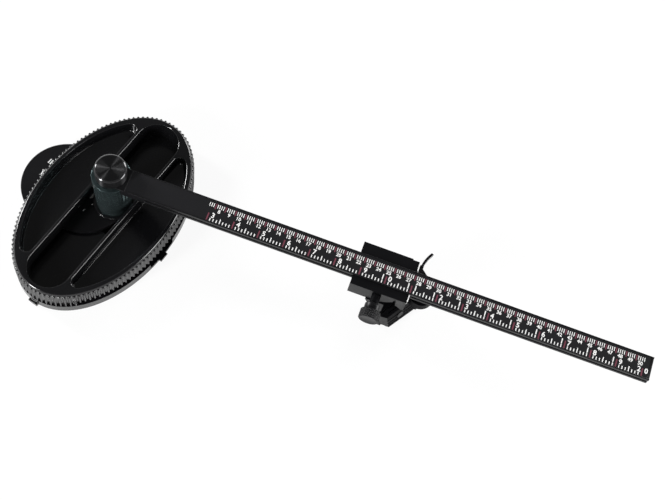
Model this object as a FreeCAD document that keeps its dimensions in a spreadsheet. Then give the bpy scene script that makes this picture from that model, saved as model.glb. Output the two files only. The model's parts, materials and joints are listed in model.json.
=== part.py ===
import FreeCAD, Part
import Sketcher
import math
import os

# Oval and circle mat cutter: an oval base with a crossed channel and groove, an arm that
# turns on it on two shoes, and a cutting head that slides along the arm. Millimetres.
# Z is up, the foot of the base is at Z = 0 with the origin in its middle, and the arm's
# bar runs along X. The long axis of the oval stands at arm_angle to the bar.

os.makedirs("parts", exist_ok=True)
doc = FreeCAD.newDocument("oval_mat_cutter")
sizes = doc.addObject("Spreadsheet::Sheet", "sizes")

DRIVING = [
    # oval base
    ("base_length", 110.8), ("base_width", 69.4), ("base_height", 18.0),
    ("plate_thickness", 5.5), ("throat_height", 3.5), ("end_wall_length", 10.4),
    ("flute_count", 120), ("flute_depth", 0.8), ("rim_bevel", 1.1), ("rim_inset", 0.8),
    ("channel_border", 3.6), ("channel_width", 21.2), ("rib_width", 1.5),
    ("recess_side_border", 3.4), ("recess_end_border", 5.0), ("recess_corner", 3.2),
    ("recess_floor", 2.0), ("groove_width", 17.4), ("groove_skin", 1.6),
    ("lug_width", 5.0), ("lug_reach", 1.2), ("lug_thickness", 2.0),
    ("screw_end_border", 8.2), ("screw_beside_channel", 1.6), ("screw_diameter", 2.6),
    ("screw_length", 9.5), ("screw_head_diameter", 5.0), ("screw_head_height", 1.8),
    # arm and its two shoes
    ("shoe_spacing", 25.4), ("arm_angle", 74.3), ("slide_play", 0.1),
    ("guide_radius", 22.3), ("guide_span", 10.0), ("guide_thickness", 2.1), ("guide_gap", 0.7),
    ("shoe_lift", 0.3), ("collar_height", 1.6), ("button_stem", 6.0), ("button_flange", 16.0),
    ("post_diameter", 18.8), ("post_foot_diameter", 17.6), ("post_drop", 0.4),
    ("arm_screw_diameter", 4.0),
    ("arm_screw_head", 7.2), ("post_screw_head_height", 0.5), ("post_screw_reach", 7.2),
    ("shoe_screw_reach", 3.0), ("shoe_screw_head_height", 0.3),
    # scale bar
    ("bar_underside", 33.8), ("bar_height", 5.0), ("bar_width", 12.0), ("bar_reach", 270.0),
    ("lip_width", 0.65), ("strip_seat", 0.5), ("strip_thickness", 0.3),
    ("strip_start", 9.0), ("strip_margin", 1.6),
    ("track_low", 1.8), ("track_height", 1.2), ("track_depth", 0.8),
    # top cap and its stud
    ("cap_diameter", 15.2), ("cap_height", 7.0), ("cap_edge", 0.6),
    ("stud_diameter", 6.0), ("stud_length", 14.0), ("turning_play", 0.08),
    # cutting head, measured from its index line
    ("scale_zero", 11.7), ("scale_step", 12.7), ("index_number", 11.0),
    ("carriage_length", 28.0), ("carriage_near", 4.6), ("carriage_far", 6.0),
    ("carriage_depth", 10.2), ("carriage_drop", 0.6), ("bar_play", 0.15),
    ("far_step_length", 3.3), ("far_step_depth", 0.5),
    ("index_thickness", 0.45), ("index_height", 3.4), ("index_margin", 1.0), ("notch_depth", 3.0),
    ("notch_left", 12.0), ("notch_left_knee", 6.1), ("notch_left_rise", 5.4),
    ("notch_right", 1.1), ("notch_right_knee", 4.5), ("notch_right_rise", 3.0),
    ("notch_top", 9.2), ("notch_top_left", 5.5), ("notch_top_right", 4.9),
    ("boss_offset", 5.8), ("boss_radius", 6.6), ("boss_height", 5.2), ("boss_low", 2.0),
    ("foot_reach", 11.2), ("foot_height", 12.4), ("foot_length", 27.0), ("foot_back", 3.5),
    ("foot_slant", 57.4), ("foot_lean", 12.0), ("foot_toe", 7.0), ("foot_heel", 4.8),
    ("leg_outer", 18.7), ("leg_inner", 10.8), ("leg_neck", 9.4), ("leg_taper", 27.0),
    ("leg_bend_low", 15.0), ("leg_bend_top", 19.0), ("leg_back", 16.0), ("neck_root", 3.6),
    # clamp screw at the front of the head
    ("screw_station", 14.3), ("screw_axis_height", 35.0), ("neck_diameter", 4.4),
    ("neck_length", 5.2), ("collar_diameter", 7.6), ("collar_length", 3.2),
    ("knob_diameter", 10.0), ("knob_length", 4.8), ("pitch", 0.8),
    ("shoe_block_width", 6.0), ("shoe_block_height", 1.6), ("shoe_block_depth", 1.6),
    # blade arm, blade and clamp plate along the slanted side of the foot
    ("blade_arm_thickness", 2.0), ("blade_thickness", 0.4), ("clamp_thickness", 1.6),
    ("blade_arm_toe_low", 1.9), ("blade_arm_heel_low", 0.6), ("blade_arm_top", 12.0),
    ("blade_arm_rear", 1.0), ("ledge_top", 14.0), ("ledge_thickness", 1.5), ("ledge_reach", 9.6),
    ("ledge_width", 4.0), ("ledge_along", 16.3), ("side_play", 0.15), ("pivot_along", 24.2),
    ("pivot_height", 7.0), ("pivot_diameter", 3.0), ("pivot_depth", 5.0),
    ("pivot_head_diameter", 5.0), ("pivot_head_height", 1.0), ("blade_tip_along", 3.5),
    ("blade_tip_drop", 0.1), ("blade_length", 13.0), ("blade_width", 5.0), ("blade_slope", 25.0),
    ("clamp_end", 21.0), ("clamp_toe_low", 1.3), ("clamp_heel_low", 0.3), ("clamp_top", 12.1),
    ("clamp_lip_gap", 0.4), ("clamp_groove_count", 3), ("clamp_groove_pitch", 2.7),
    ("clamp_groove_height", 0.6), ("clamp_groove_depth", 0.3),
    ("blade_screw_along", 9.5), ("blade_screw_height", 6.4), ("blade_screw_diameter", 3.0),
    ("blade_screw_head", 3.8), ("blade_screw_head_height", 0.3),
    # depth lever on the boss
    ("lever_disc_diameter", 9.8), ("lever_thickness", 2.0), ("lever_stem", 4.0),
    ("lever_stem_low", 16.0), ("wrist_reach", 12.5), ("wrist_inner", 3.1), ("wrist_low", 10.8),
    ("shoulder_side", 1.65), ("shoulder_reach", 6.7), ("elbow_bearing", 30.0),
    ("tab_start_reach", 12.5), ("tab_start_bearing", 111.4), ("tab_end_reach", 19.5),
    ("tab_end_bearing", 94.8), ("tab_bulge", 0.45), ("tab_height", 5.2), ("tab_tip_height", 2.4),
    ("tab_thickness", 1.2), ("tab_drop", 1.2), ("ring_diameter", 7.0), ("ring_thickness", 1.0),
]
for row, (alias, value) in enumerate(DRIVING, start=1):
    sizes.set("A%d" % row, alias)
    sizes.set("B%d" % row, str(value))
    sizes.setAlias("B%d" % row, alias)
doc.recompute()


def words(text):
    """Turn a formula of size names into one that points at the sheet's cells."""
    out = []
    token = ""
    for letter in text + " ":
        if letter.isalnum() or letter == "_":
            token += letter
            continue
        out.append("sizes." + token if token in NAMES else token)
        token = ""
        out.append(letter)
    return "".join(out).strip()


NAMES = {alias for alias, value in DRIVING}

# Places that several pieces share, as formulas of the driving sizes
TURN = "arm_angle * 1 deg"
HUB_X = "shoe_spacing * cos(%s) ^ 2" % TURN
HUB_Y = "shoe_spacing * cos(%s) * sin(%s)" % (TURN, TURN)
CROSS_X = "(-shoe_spacing * sin(%s) ^ 2)" % TURN
THROAT_TOP = "(plate_thickness + throat_height)"
GUIDE_LOW = "(plate_thickness + guide_gap)"
GUIDE_TOP = "(plate_thickness + guide_gap + guide_thickness)"
BAR_TOP = "(bar_underside + bar_height)"
CARRIAGE_TOP = "(bar_underside + bar_height - carriage_drop)"
CARRIAGE_LOW = "(bar_underside + bar_height - carriage_drop - carriage_depth)"
INDEX_X = HUB_X + " + scale_zero + scale_step * index_number"
NEAR_SIDE = "(%s - bar_width / 2)" % HUB_Y
FAR_SIDE = "(%s + bar_width / 2)" % HUB_Y
MIDDLE_X = "((%s + %s) / 2)" % (HUB_X, CROSS_X)
SCREW_X = INDEX_X + " - screw_station"
CHANNEL_HALF = "(base_length / 2 - channel_border)"
END_WALL = "(base_length / 2 - end_wall_length)"
SCREW_ALONG = "(base_length / 2 - screw_end_border)"
SCREW_ACROSS = "(channel_width / 2 + screw_beside_channel)"
BOSS_LOW = "(%s - boss_low)" % CARRIAGE_LOW
BOSS_TOP = "(%s - boss_low + boss_height)" % CARRIAGE_LOW


def size(text):
    """Value of a formula of size names."""
    value = sizes.evalExpression(words(text))
    return float(getattr(value, "Value", value))


def bind(thing, **formulas):
    """Bind properties of an object to formulas; x, y, z and turn place it."""
    places = {"x": "Placement.Base.x", "y": "Placement.Base.y", "z": "Placement.Base.z",
              "turn": "Placement.Rotation.Angle"}
    for name, formula in formulas.items():
        thing.setExpression(places.get(name, name), words(formula))
    return thing


def block(name, length, width, height, x, y, z):
    """Box with its corner at x, y, z."""
    thing = doc.addObject("Part::Box", name)
    return bind(thing, Length=length, Width=width, Height=height, x=x, y=y, z=z)


def rod(name, diameter, height, x, y, z):
    """Upright cylinder that stands on x, y, z."""
    thing = doc.addObject("Part::Cylinder", name)
    return bind(thing, Radius="(%s) / 2" % diameter, Height=height, x=x, y=y, z=z)


def level_rod(name, diameter, length, x, y, z):
    """Cylinder that lies along Y and starts at x, y, z."""
    thing = rod(name, diameter, length, x, y, z)
    lying = FreeCAD.Rotation(FreeCAD.Vector(1, 0, 0), -90)
    thing.Placement = FreeCAD.Placement(FreeCAD.Vector(), lying)
    return bind(thing, x=x, y=y, z=z)


def joined(name, *pieces):
    thing = doc.addObject("Part::MultiFuse", name)
    thing.Shapes = list(pieces)
    return thing


def cut(name, body, *tools):
    """Body less its tools."""
    thing = doc.addObject("Part::Cut", name)
    thing.Base = body
    thing.Tool = tools[0] if len(tools) == 1 else joined(name + "_tools", *tools)
    return thing


def group(name, *pieces):
    thing = doc.addObject("Part::Compound", name)
    thing.Links = list(pieces)
    return thing


def corners(sketch, points):
    """Closed outline whose corners are held at formulas of the sizes."""
    places = [(size(across), size(up)) for across, up in points]
    count = len(places)
    for number, place in enumerate(places):
        after = places[(number + 1) % count]
        start = FreeCAD.Vector(place[0], place[1], 0)
        end = FreeCAD.Vector(after[0], after[1], 0)
        sketch.addGeometry(Part.LineSegment(start, end), False)
    for number in range(count):
        sketch.addConstraint(Sketcher.Constraint("Coincident", number, 2, (number + 1) % count, 1))
    for number, (across, up) in enumerate(points):
        for kind, formula in (("DistanceX", across), ("DistanceY", up)):
            held = sketch.addConstraint(Sketcher.Constraint(kind, -1, 1, number, 1, size(formula)))
            sketch.setExpression("Constraints[%d]" % held, words(formula))


def plane(body, role):
    """Origin plane of a body, by its role."""
    return next(f for f in body.Origin.OriginFeatures if f.Role == role)


def turned(name, points, x, y, z="0"):
    """Round piece: its half section, as radius and height, turned about an upright axis."""
    body = doc.addObject("PartDesign::Body", name)
    sketch = body.newObject("Sketcher::SketchObject", name + "_section")
    sketch.AttachmentSupport = [(plane(body, "XZ_Plane"), "")]
    sketch.MapMode = "FlatFace"
    corners(sketch, points)
    doc.recompute()
    spun = body.newObject("PartDesign::Revolution", name + "_turned")
    spun.Profile = sketch
    spun.ReferenceAxis = (sketch, ["V_Axis"])
    spun.Angle = 360
    return bind(body, x=x, y=y, z=z)


def plate(name, points, low, height, x="0", y="0"):
    """Flat piece: an outline seen from above, raised from low by height."""
    body = doc.addObject("PartDesign::Body", name)
    sketch = body.newObject("Sketcher::SketchObject", name + "_outline")
    sketch.AttachmentSupport = [(plane(body, "XY_Plane"), "")]
    sketch.MapMode = "FlatFace"
    corners(sketch, points)
    doc.recompute()
    pad = body.newObject("PartDesign::Pad", name + "_pad")
    pad.Profile = sketch
    pad.setExpression("Length", words(height))
    return bind(body, x=x, y=y, z=low)


def finish(thing, label):
    """Give a sub-part the label that names its file."""
    thing.Label = label
    SUBPARTS.append(thing)
    return thing


SUBPARTS = []


def oval(name, less, low, height):
    """Oval slab with its long axis along its own X, smaller all round by less."""
    rim = doc.addObject("Part::Ellipse", name + "_rim")
    bind(rim, MajorRadius="base_length / 2 - (%s)" % less,
         MinorRadius="base_width / 2 - (%s)" % less, z=low)
    slab = doc.addObject("Part::Extrusion", name)
    slab.Base = rim
    slab.DirMode = "Custom"
    slab.Dir = FreeCAD.Vector(0, 0, 1)
    slab.Solid = True
    return bind(slab, LengthFwd=height)


def screw_places():
    """The four screws that hold the oval body to its plate."""
    return [(along, across) for along in (-1, 1) for across in (-1, 1)]


def base_plate():
    """Flat oval plate with the cross groove, four pointer lugs and countersunk screw holes."""
    slab = oval("plate_slab", "0", "0", "plate_thickness")
    long_lugs = block("plate_long_lugs", "base_length + 2 * lug_reach", "lug_width", "lug_thickness",
                      "-base_length / 2 - lug_reach", "-lug_width / 2", "0")
    cross_lugs = block("plate_cross_lugs", "lug_width", "base_width + 2 * lug_reach", "lug_thickness",
                       "-lug_width / 2", "-base_width / 2 - lug_reach", "0")
    groove = block("plate_groove", "groove_width", "base_width + 4 * lug_reach", "plate_thickness",
                   "-groove_width / 2", "-base_width / 2 - 2 * lug_reach", "groove_skin")
    holes = []
    for number, (along, across) in enumerate(screw_places()):
        x = "%d * %s" % (along, SCREW_ALONG)
        y = "%d * %s" % (across, SCREW_ACROSS)
        holes.append(rod("plate_hole_%d" % number, "screw_diameter + 2 * turning_play",
                         "plate_thickness", x, y, "0"))
        holes.append(rod("plate_counterbore_%d" % number, "screw_head_diameter + 2 * slide_play",
                         "screw_head_height + shoe_lift", x, y, "0"))
    whole = joined("plate_whole", slab, long_lugs, cross_lugs)
    return finish(bind(cut("base_plate", whole, groove, *holes), turn=TURN), "base_plate")


PARTS_PER_POINT = 40
ANGLE_ERROR = 1e-12


def even_angles(half_length, half_width, count):
    """Angles of an ellipse at which its points stand at even distances along it."""
    parts = PARTS_PER_POINT * count
    travelled = [0.0]
    for part in range(parts):
        angle = 2 * math.pi * (part + 0.5) / parts
        pace = math.hypot(half_length * math.sin(angle), half_width * math.cos(angle))
        travelled.append(travelled[-1] + pace)
    angles = []
    part = 0
    for step in range(count):
        goal = travelled[-1] * step / count
        while travelled[part + 1] < goal:
            part += 1
        share = (goal - travelled[part]) / (travelled[part + 1] - travelled[part])
        angles.append(2 * math.pi * (part + share) / parts)
    return angles


def fluted_face(low):
    """Face of the oval with flutes, evenly spaced: points outside and inside in turn."""
    half_length = size("base_length") / 2
    half_width = size("base_width") / 2
    points = []
    for step, angle in enumerate(even_angles(half_length, half_width, 2 * int(size("flute_count")))):
        inward = size("flute_depth") if step % 2 else 0.0
        points.append(FreeCAD.Vector((half_length - inward) * math.cos(angle),
                                     (half_width - inward) * math.sin(angle), low))
    return Part.Face(Part.makePolygon(points + points[:1]))


def oval_face(less, low):
    """Plain oval face."""
    curve = Part.Ellipse(FreeCAD.Vector(0, 0, low), size("base_length") / 2 - less,
                         size("base_width") / 2 - less)
    return Part.Face(Part.Wire(curve.toShape()))


def corner_angle(half_length, half_width, start, radius):
    """Angle of the ellipse at which a corner arc between it and the line y = start touches it."""
    low, high = 0.0, math.pi / 2
    while high - low > ANGLE_ERROR:
        angle = (low + high) / 2
        across = half_width * math.sin(angle)
        outward = half_length * math.sin(angle) / math.hypot(half_width * math.cos(angle),
                                                             half_length * math.sin(angle))
        if across - radius * outward < start + radius:
            low = angle
        else:
            high = angle
    return low


def recess(side):
    """D-shaped pocket beside the channel: oval outside, straight along the rib, round corners."""
    low = size(THROAT_TOP) + size("recess_floor")
    half_length = size("base_length / 2 - recess_end_border")
    half_width = size("base_width / 2 - recess_side_border")
    start = size("channel_width / 2 + rib_width")
    radius = size("recess_corner")
    angle = corner_angle(half_length, half_width, start, radius)
    touch = FreeCAD.Vector(half_length * math.cos(angle), half_width * math.sin(angle), low)
    normal = FreeCAD.Vector(half_width * math.cos(angle), half_length * math.sin(angle), 0).normalize()
    centre = touch - normal * radius
    foot = FreeCAD.Vector(centre.x, start, low)
    between = centre + (normal + FreeCAD.Vector(0, -1, 0)).normalize() * radius

    def mirrored(place):
        return FreeCAD.Vector(-place.x, place.y, place.z)

    rim = Part.ArcOfEllipse(Part.Ellipse(FreeCAD.Vector(0, 0, low), half_length, half_width),
                            angle, math.pi - angle)
    outline = Part.Wire([Part.Arc(foot, between, touch).toShape(), rim.toShape(),
                         Part.Arc(mirrored(touch), mirrored(between), mirrored(foot)).toShape(),
                         Part.makeLine(mirrored(foot), foot)])
    pocket = Part.Face(outline).extrude(FreeCAD.Vector(0, 0, size("base_height")))
    if side < 0:
        pocket.rotate(FreeCAD.Vector(), FreeCAD.Vector(0, 0, 1), 180)
    return pocket


def oval_body():
    """Fluted oval body: raised off the plate in its middle, closed down onto it at both ends."""
    low = size(THROAT_TOP)
    bevel_low = size("base_height") - size("rim_bevel")
    body = fluted_face(low).extrude(FreeCAD.Vector(0, 0, bevel_low - low))
    inner = size("flute_depth")
    outer_rim = oval_face(inner, bevel_low).OuterWire
    inner_rim = oval_face(inner + size("rim_inset"), size("base_height")).OuterWire
    body = body.fuse(Part.makeLoft([outer_rim, inner_rim], True, True))
    foot = fluted_face(size("plate_thickness")).extrude(FreeCAD.Vector(0, 0, size("throat_height")))
    start = size(END_WALL)
    span = size("base_length")
    throat = Part.makeBox(2 * start, span, size("throat_height"),
                          FreeCAD.Vector(-start, -span / 2, size("plate_thickness")))
    body = body.fuse(foot.cut(throat))
    floor = size("groove_skin")
    height = size("base_height")
    radius = size("channel_width") / 2
    reach = size(CHANNEL_HALF) - radius
    channel = Part.makeBox(2 * reach, 2 * radius, height, FreeCAD.Vector(-reach, -radius, floor))
    for side in (-1, 1):
        channel = channel.fuse(Part.makeCylinder(radius, height, FreeCAD.Vector(side * reach, 0, floor)))
    body = body.cut(channel)
    for side in (-1, 1):
        body = body.cut(recess(side))
    for along, across in screw_places():
        place = FreeCAD.Vector(along * size(SCREW_ALONG), across * size(SCREW_ACROSS), 0)
        hole = Part.makeCylinder(size("screw_diameter") / 2, size("shoe_lift + screw_length"), place)
        body = body.cut(hole)
    thing = doc.addObject("Part::Feature", "oval_body")
    thing.Shape = body.removeSplitter()
    return finish(bind(thing, turn=TURN), "oval_body")


def body_screws():
    """Four pan-head screws, let into the underside of the plate."""
    screws = []
    for number, (along, across) in enumerate(screw_places()):
        x = "%d * %s" % (along, SCREW_ALONG)
        y = "%d * %s" % (across, SCREW_ACROSS)
        head = rod("body_screw_head_%d" % number, "screw_head_diameter", "screw_head_height",
                   x, y, "shoe_lift")
        shank = rod("body_screw_shank_%d" % number, "screw_diameter", "screw_length", x, y, "shoe_lift")
        screws.append(joined("body_screw_%d" % number, head, shank))
    return finish(bind(group("body_screws", *screws), turn=TURN), "body_screws")


def glide_button():
    """Flat button midway between the two shoes: it slides round the plate under the guide plate."""
    flange_top = GUIDE_LOW + " - slide_play"
    points = [("0", "plate_thickness"), ("button_flange / 2", "plate_thickness"),
              ("button_flange / 2", flange_top), ("button_stem / 2", flange_top),
              ("button_stem / 2", GUIDE_TOP), ("0", GUIDE_TOP)]
    return finish(turned("glide_button", points, MIDDLE_X, HUB_Y), "glide_button")


def guide_plate():
    """Oblong plate in the throat, which ties the hub post to the cross shoe."""
    disc = rod("guide_rear", "2 * guide_radius", "guide_thickness", CROSS_X, HUB_Y, GUIDE_LOW)
    front = rod("guide_front", "2 * guide_radius", "guide_thickness",
                CROSS_X + " + guide_span", HUB_Y, GUIDE_LOW)
    middle = block("guide_middle", "guide_span", "2 * guide_radius", "guide_thickness",
                   CROSS_X, HUB_Y + " - guide_radius", GUIDE_LOW)
    places = (("button", "button_stem", MIDDLE_X), ("post", "arm_screw_diameter", HUB_X),
              ("shoe", "arm_screw_diameter", CROSS_X))
    holes = [rod("guide_%s_hole" % name, diameter + " + 2 * turning_play", "2 * guide_thickness",
                 x, HUB_Y, GUIDE_LOW + " - guide_gap") for name, diameter, x in places]
    whole = joined("guide_whole", disc, front, middle)
    return finish(cut("guide_plate", whole, *holes), "guide_plate")


def cross_shoe():
    """Round shoe that slides in the cross groove."""
    radius = "(groove_width / 2 - slide_play)"
    low = "groove_skin + shoe_lift"
    shoulder = "plate_thickness - shoe_lift"
    points = [("arm_screw_diameter / 2", low), (radius, low), (radius, shoulder),
              ("arm_screw_diameter", shoulder), ("arm_screw_diameter", GUIDE_LOW),
              ("arm_screw_diameter / 2", GUIDE_LOW)]
    return finish(turned("cross_shoe", points, CROSS_X, HUB_Y), "cross_shoe")


def shoe_screw():
    """Screw down through the guide plate into the cross shoe."""
    tip = GUIDE_LOW + " - shoe_screw_reach"
    top = GUIDE_TOP + " + shoe_screw_head_height"
    points = [("0", tip), ("arm_screw_diameter / 2", tip), ("arm_screw_diameter / 2", GUIDE_TOP),
              ("arm_screw_head / 2", GUIDE_TOP), ("arm_screw_head / 2", top), ("0", top)]
    return finish(turned("shoe_screw", points, CROSS_X, HUB_Y), "shoe_screw")


def channel_shoe():
    """Flat round shoe about the foot of the post, which slides in the long channel."""
    radius = "(channel_width / 2 - slide_play)"
    top = GUIDE_TOP + " + collar_height"
    points = [("post_foot_diameter / 2", GUIDE_TOP), (radius, GUIDE_TOP), (radius, top),
              ("post_foot_diameter / 2", top)]
    return finish(turned("channel_shoe", points, HUB_X, HUB_Y), "channel_shoe")


def hub_post():
    """Metal post that widens upward: the end of the bar lies in a seat cut into its top."""
    top = BAR_TOP + " - post_drop"
    shoulder = GUIDE_TOP + " + collar_height"
    post = turned("post_round", [("0", GUIDE_TOP), ("post_foot_diameter / 2", GUIDE_TOP),
                                 ("post_foot_diameter / 2", shoulder), ("post_diameter / 2", top),
                                 ("0", top)], HUB_X, HUB_Y)
    seat_end = rod("post_seat_end", "bar_width", "bar_height", HUB_X, HUB_Y, "bar_underside")
    seat = block("post_seat", "post_diameter", "bar_width", "bar_height", HUB_X, NEAR_SIDE, "bar_underside")
    stud_hole = rod("post_stud_hole", "stud_diameter + 2 * turning_play", "stud_length",
                    HUB_X, HUB_Y, BAR_TOP + " - stud_length - shoe_lift")
    screw_hole = rod("post_screw_hole", "arm_screw_diameter", "post_screw_reach + shoe_lift",
                     HUB_X, HUB_Y, GUIDE_TOP)
    return finish(cut("hub_post", post, seat_end, seat, stud_hole, screw_hole), "hub_post")


def post_screw():
    """Screw up through the guide plate into the post, its thin head within the gap under the plate."""
    low = GUIDE_LOW + " - post_screw_head_height"
    tip = GUIDE_TOP + " + post_screw_reach"
    points = [("0", low), ("arm_screw_head / 2", low), ("arm_screw_head / 2", GUIDE_LOW),
              ("arm_screw_diameter / 2", GUIDE_LOW), ("arm_screw_diameter / 2", tip), ("0", tip)]
    return finish(turned("post_screw", points, HUB_X, HUB_Y), "post_screw")


def scale_bar():
    """Straight bar with a round inner end, raised lips along the top and a track along each side."""
    straight = block("bar_straight", "bar_reach", "bar_width", "bar_height", HUB_X, NEAR_SIDE,
                     "bar_underside")
    end = rod("bar_end", "bar_width", "bar_height", HUB_X, HUB_Y, "bar_underside")
    seat = block("bar_strip_seat", "bar_reach", "bar_width - 2 * lip_width", "bar_height",
                 HUB_X + " + strip_start", NEAR_SIDE + " + lip_width", BAR_TOP + " - strip_seat")
    tracks = [block("bar_track_%s" % name, "bar_reach", "bar_width", "track_height",
                    HUB_X + " + post_diameter", y, "bar_underside + track_low")
              for name, y in (("near", NEAR_SIDE + " + track_depth - bar_width"),
                              ("far", FAR_SIDE + " - track_depth"))]
    hole = rod("bar_stud_hole", "stud_diameter + 2 * turning_play", "2 * bar_height", HUB_X, HUB_Y,
               "bar_underside - bar_height / 2")
    whole = joined("bar_whole", straight, end)
    return finish(cut("scale_bar", whole, seat, hole, *tracks), "scale_bar")


def scale_strip():
    """Thin printed strip that lies between the lips of the bar."""
    strip = block("scale_strip", "bar_reach - strip_start - strip_margin", "bar_width - 2 * lip_width",
                  "strip_thickness", HUB_X + " + strip_start", NEAR_SIDE + " + lip_width",
                  BAR_TOP + " - strip_seat")
    return finish(strip, "scale_strip")


def cap_knob():
    """Round turned cap on top of the post, with a bevelled edge and its stud below."""
    tip = BAR_TOP + " - stud_length"
    top = BAR_TOP + " + cap_height"
    inner = "cap_diameter / 2 - cap_edge"
    points = [("0", tip), ("stud_diameter / 2", tip), ("stud_diameter / 2", BAR_TOP), (inner, BAR_TOP),
              ("cap_diameter / 2", BAR_TOP + " + cap_edge"), ("cap_diameter / 2", top + " - cap_edge"),
              (inner, top), ("0", top)]
    return finish(turned("cap_knob", points, HUB_X, HUB_Y), "cap_knob")


def carriage():
    """Block that rides on the bar: slot with a tongue in each track, boss for the depth lever."""
    start = INDEX_X + " - carriage_length"
    boss_x = INDEX_X + " + boss_offset"
    far_step = block("carriage_far_step", "2 * far_step_length", "carriage_far", "2 * carriage_depth",
                     INDEX_X + " - far_step_length", FAR_SIDE + " + carriage_far - far_step_depth",
                     CARRIAGE_LOW + " - carriage_depth / 2")
    solid = block("carriage_block", "carriage_length", "bar_width + carriage_near + carriage_far",
                  "carriage_depth", start, NEAR_SIDE + " - carriage_near", CARRIAGE_LOW)
    opening = block("carriage_opening", "2 * carriage_length", "bar_width + 2 * bar_play",
                    "2 * carriage_depth", start + " - carriage_length / 2", NEAR_SIDE + " - bar_play",
                    "bar_underside - bar_play")
    tongues = [block("carriage_tongue_%s" % name, "carriage_length", "track_depth",
                     "track_height - 2 * slide_play", start, y, "bar_underside + track_low + slide_play")
               for name, y in (("near", NEAR_SIDE + " - bar_play"),
                               ("far", FAR_SIDE + " + bar_play - track_depth"))]
    screw_hole = level_rod("carriage_screw_hole", "neck_diameter + 2 * slide_play", "carriage_near",
                           SCREW_X, NEAR_SIDE + " - carriage_near", "screw_axis_height")
    travel = "shoe_block_depth + pitch + 2 * slide_play"
    shoe_top = "neck_diameter / 2 + slide_play"
    shoe_pocket = block("carriage_shoe_pocket", "shoe_block_width + 2 * slide_play", travel,
                        "screw_axis_height - bar_underside + bar_play + " + shoe_top,
                        SCREW_X + " - shoe_block_width / 2 - slide_play",
                        "%s - (%s)" % (NEAR_SIDE, travel), "bar_underside - bar_play")
    boss = rod("carriage_boss", "2 * boss_radius", "boss_height", boss_x, HUB_Y, BOSS_LOW)
    neck = block("carriage_boss_neck", "boss_offset + neck_root", "boss_radius", "boss_height",
                 INDEX_X + " - neck_root", HUB_Y + " - boss_radius / 2", BOSS_LOW)
    boss_hole = rod("carriage_boss_hole", "lever_stem + 2 * turning_play", "3 * boss_height",
                    boss_x, HUB_Y, BOSS_LOW + " - boss_height")
    rider = joined("carriage_rider", cut("carriage_open", solid, opening), *tongues)
    rider = cut("carriage_pocketed", rider, screw_hole, shoe_pocket)
    body = joined("carriage_with_boss", rider, neck, boss)
    notch = front_notch()
    return finish(cut("carriage", body, boss_hole, notch, far_step), "carriage")


def front_notch():
    """Pointed notch in the front wall of the carriage, beside its right end."""
    body = doc.addObject("PartDesign::Body", "carriage_notch")
    sketch = body.newObject("Sketcher::SketchObject", "notch_outline")
    sketch.AttachmentSupport = [(plane(body, "XZ_Plane"), "")]
    sketch.MapMode = "FlatFace"
    corners(sketch, [("-notch_left", "-slide_play"), ("-notch_right", "-slide_play"),
                     ("-notch_right_knee", "notch_right_rise"), ("-notch_top_right", "notch_top"),
                     ("-notch_top_left", "notch_top"), ("-notch_left_knee", "notch_left_rise")])
    doc.recompute()
    pad = body.newObject("PartDesign::Pad", "notch_pad")
    pad.Profile = sketch
    pad.setExpression("Length", words("2 * notch_depth"))
    pad.Midplane = True
    return bind(body, x=INDEX_X, y=NEAR_SIDE + " - carriage_near", z=CARRIAGE_LOW)


def index_line():
    """Thin pale strips on the end of the carriage, which mark the reading on the scale."""
    low = CARRIAGE_TOP + " - index_height"
    near = block("index_near", "index_thickness", "carriage_near - index_margin - bar_play",
                 "index_height", INDEX_X, NEAR_SIDE + " - carriage_near + index_margin", low)
    far = block("index_far", "index_thickness", "carriage_far - 2 * index_margin", "index_height",
                INDEX_X, FAR_SIDE + " + index_margin", low)
    return finish(group("index_line", near, far), "index_line")


def foot_block():
    """Foot of the head: sole whose right side slants and leans, and a leg up to the carriage."""
    end_x = "(-foot_toe + foot_length * cos(foot_slant * 1 deg))"
    end_y = "foot_length * sin(foot_slant * 1 deg)"
    heel = "(-foot_heel - foot_toe)"
    toe_y = HUB_Y + " - foot_reach"
    rear = end_y + " + foot_back"
    outline = [(heel, "0"), ("-foot_toe", "0"), (end_x, end_y), (end_x, rear), (heel, rear)]
    sole = plate("foot_sole", outline, "0", "foot_height", x=INDEX_X, y=toe_y)
    outline = [("-leg_outer", CARRIAGE_LOW), ("-leg_outer", "leg_taper"), (heel, "foot_height"),
               (heel, "foot_height / 2"), ("-leg_inner", "foot_height / 2"),
               ("-leg_inner", "leg_bend_low"), ("-leg_neck", "leg_bend_top"),
               ("-leg_neck", CARRIAGE_LOW)]
    leg = bind(front_plate("foot_leg", outline, "leg_back"), x=INDEX_X, y=toe_y)
    hole = level_rod("foot_pin_hole", "pivot_diameter", "2 * pivot_depth", "pivot_along",
                     "-pivot_depth", "pivot_height")
    beside = block("foot_beside", "3 * foot_length", "foot_length",
                   "foot_height * (1 + 1 / cos(foot_lean * 1 deg))",
                   "-foot_length", "-foot_length", "-foot_height")
    tools = on_side(joined("foot_side_tools", beside, hole))
    return finish(cut("foot_block", joined("foot_whole", sole, leg), tools), "foot_block")


def front_plate(name, points, depth):
    """Piece whose outline is seen from the front, run back from its own XZ plane by depth."""
    body = doc.addObject("PartDesign::Body", name)
    sketch = body.newObject("Sketcher::SketchObject", name + "_outline")
    sketch.AttachmentSupport = [(plane(body, "XZ_Plane"), "")]
    sketch.MapMode = "FlatFace"
    corners(sketch, points)
    doc.recompute()
    pad = body.newObject("PartDesign::Pad", name + "_pad")
    pad.Profile = sketch
    pad.Reversed = True
    pad.setExpression("Length", words(depth))
    return body


def on_side(thing):
    """Set a piece made in the side's own frame, X along it and -Y out of it, at the toe of the foot."""
    place = "placement(vector(%s - foot_toe; %s - foot_reach; 0); " % (INDEX_X, HUB_Y)
    return bind(thing, Placement=place + "rotation(foot_slant; 0; -foot_lean))")


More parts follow.
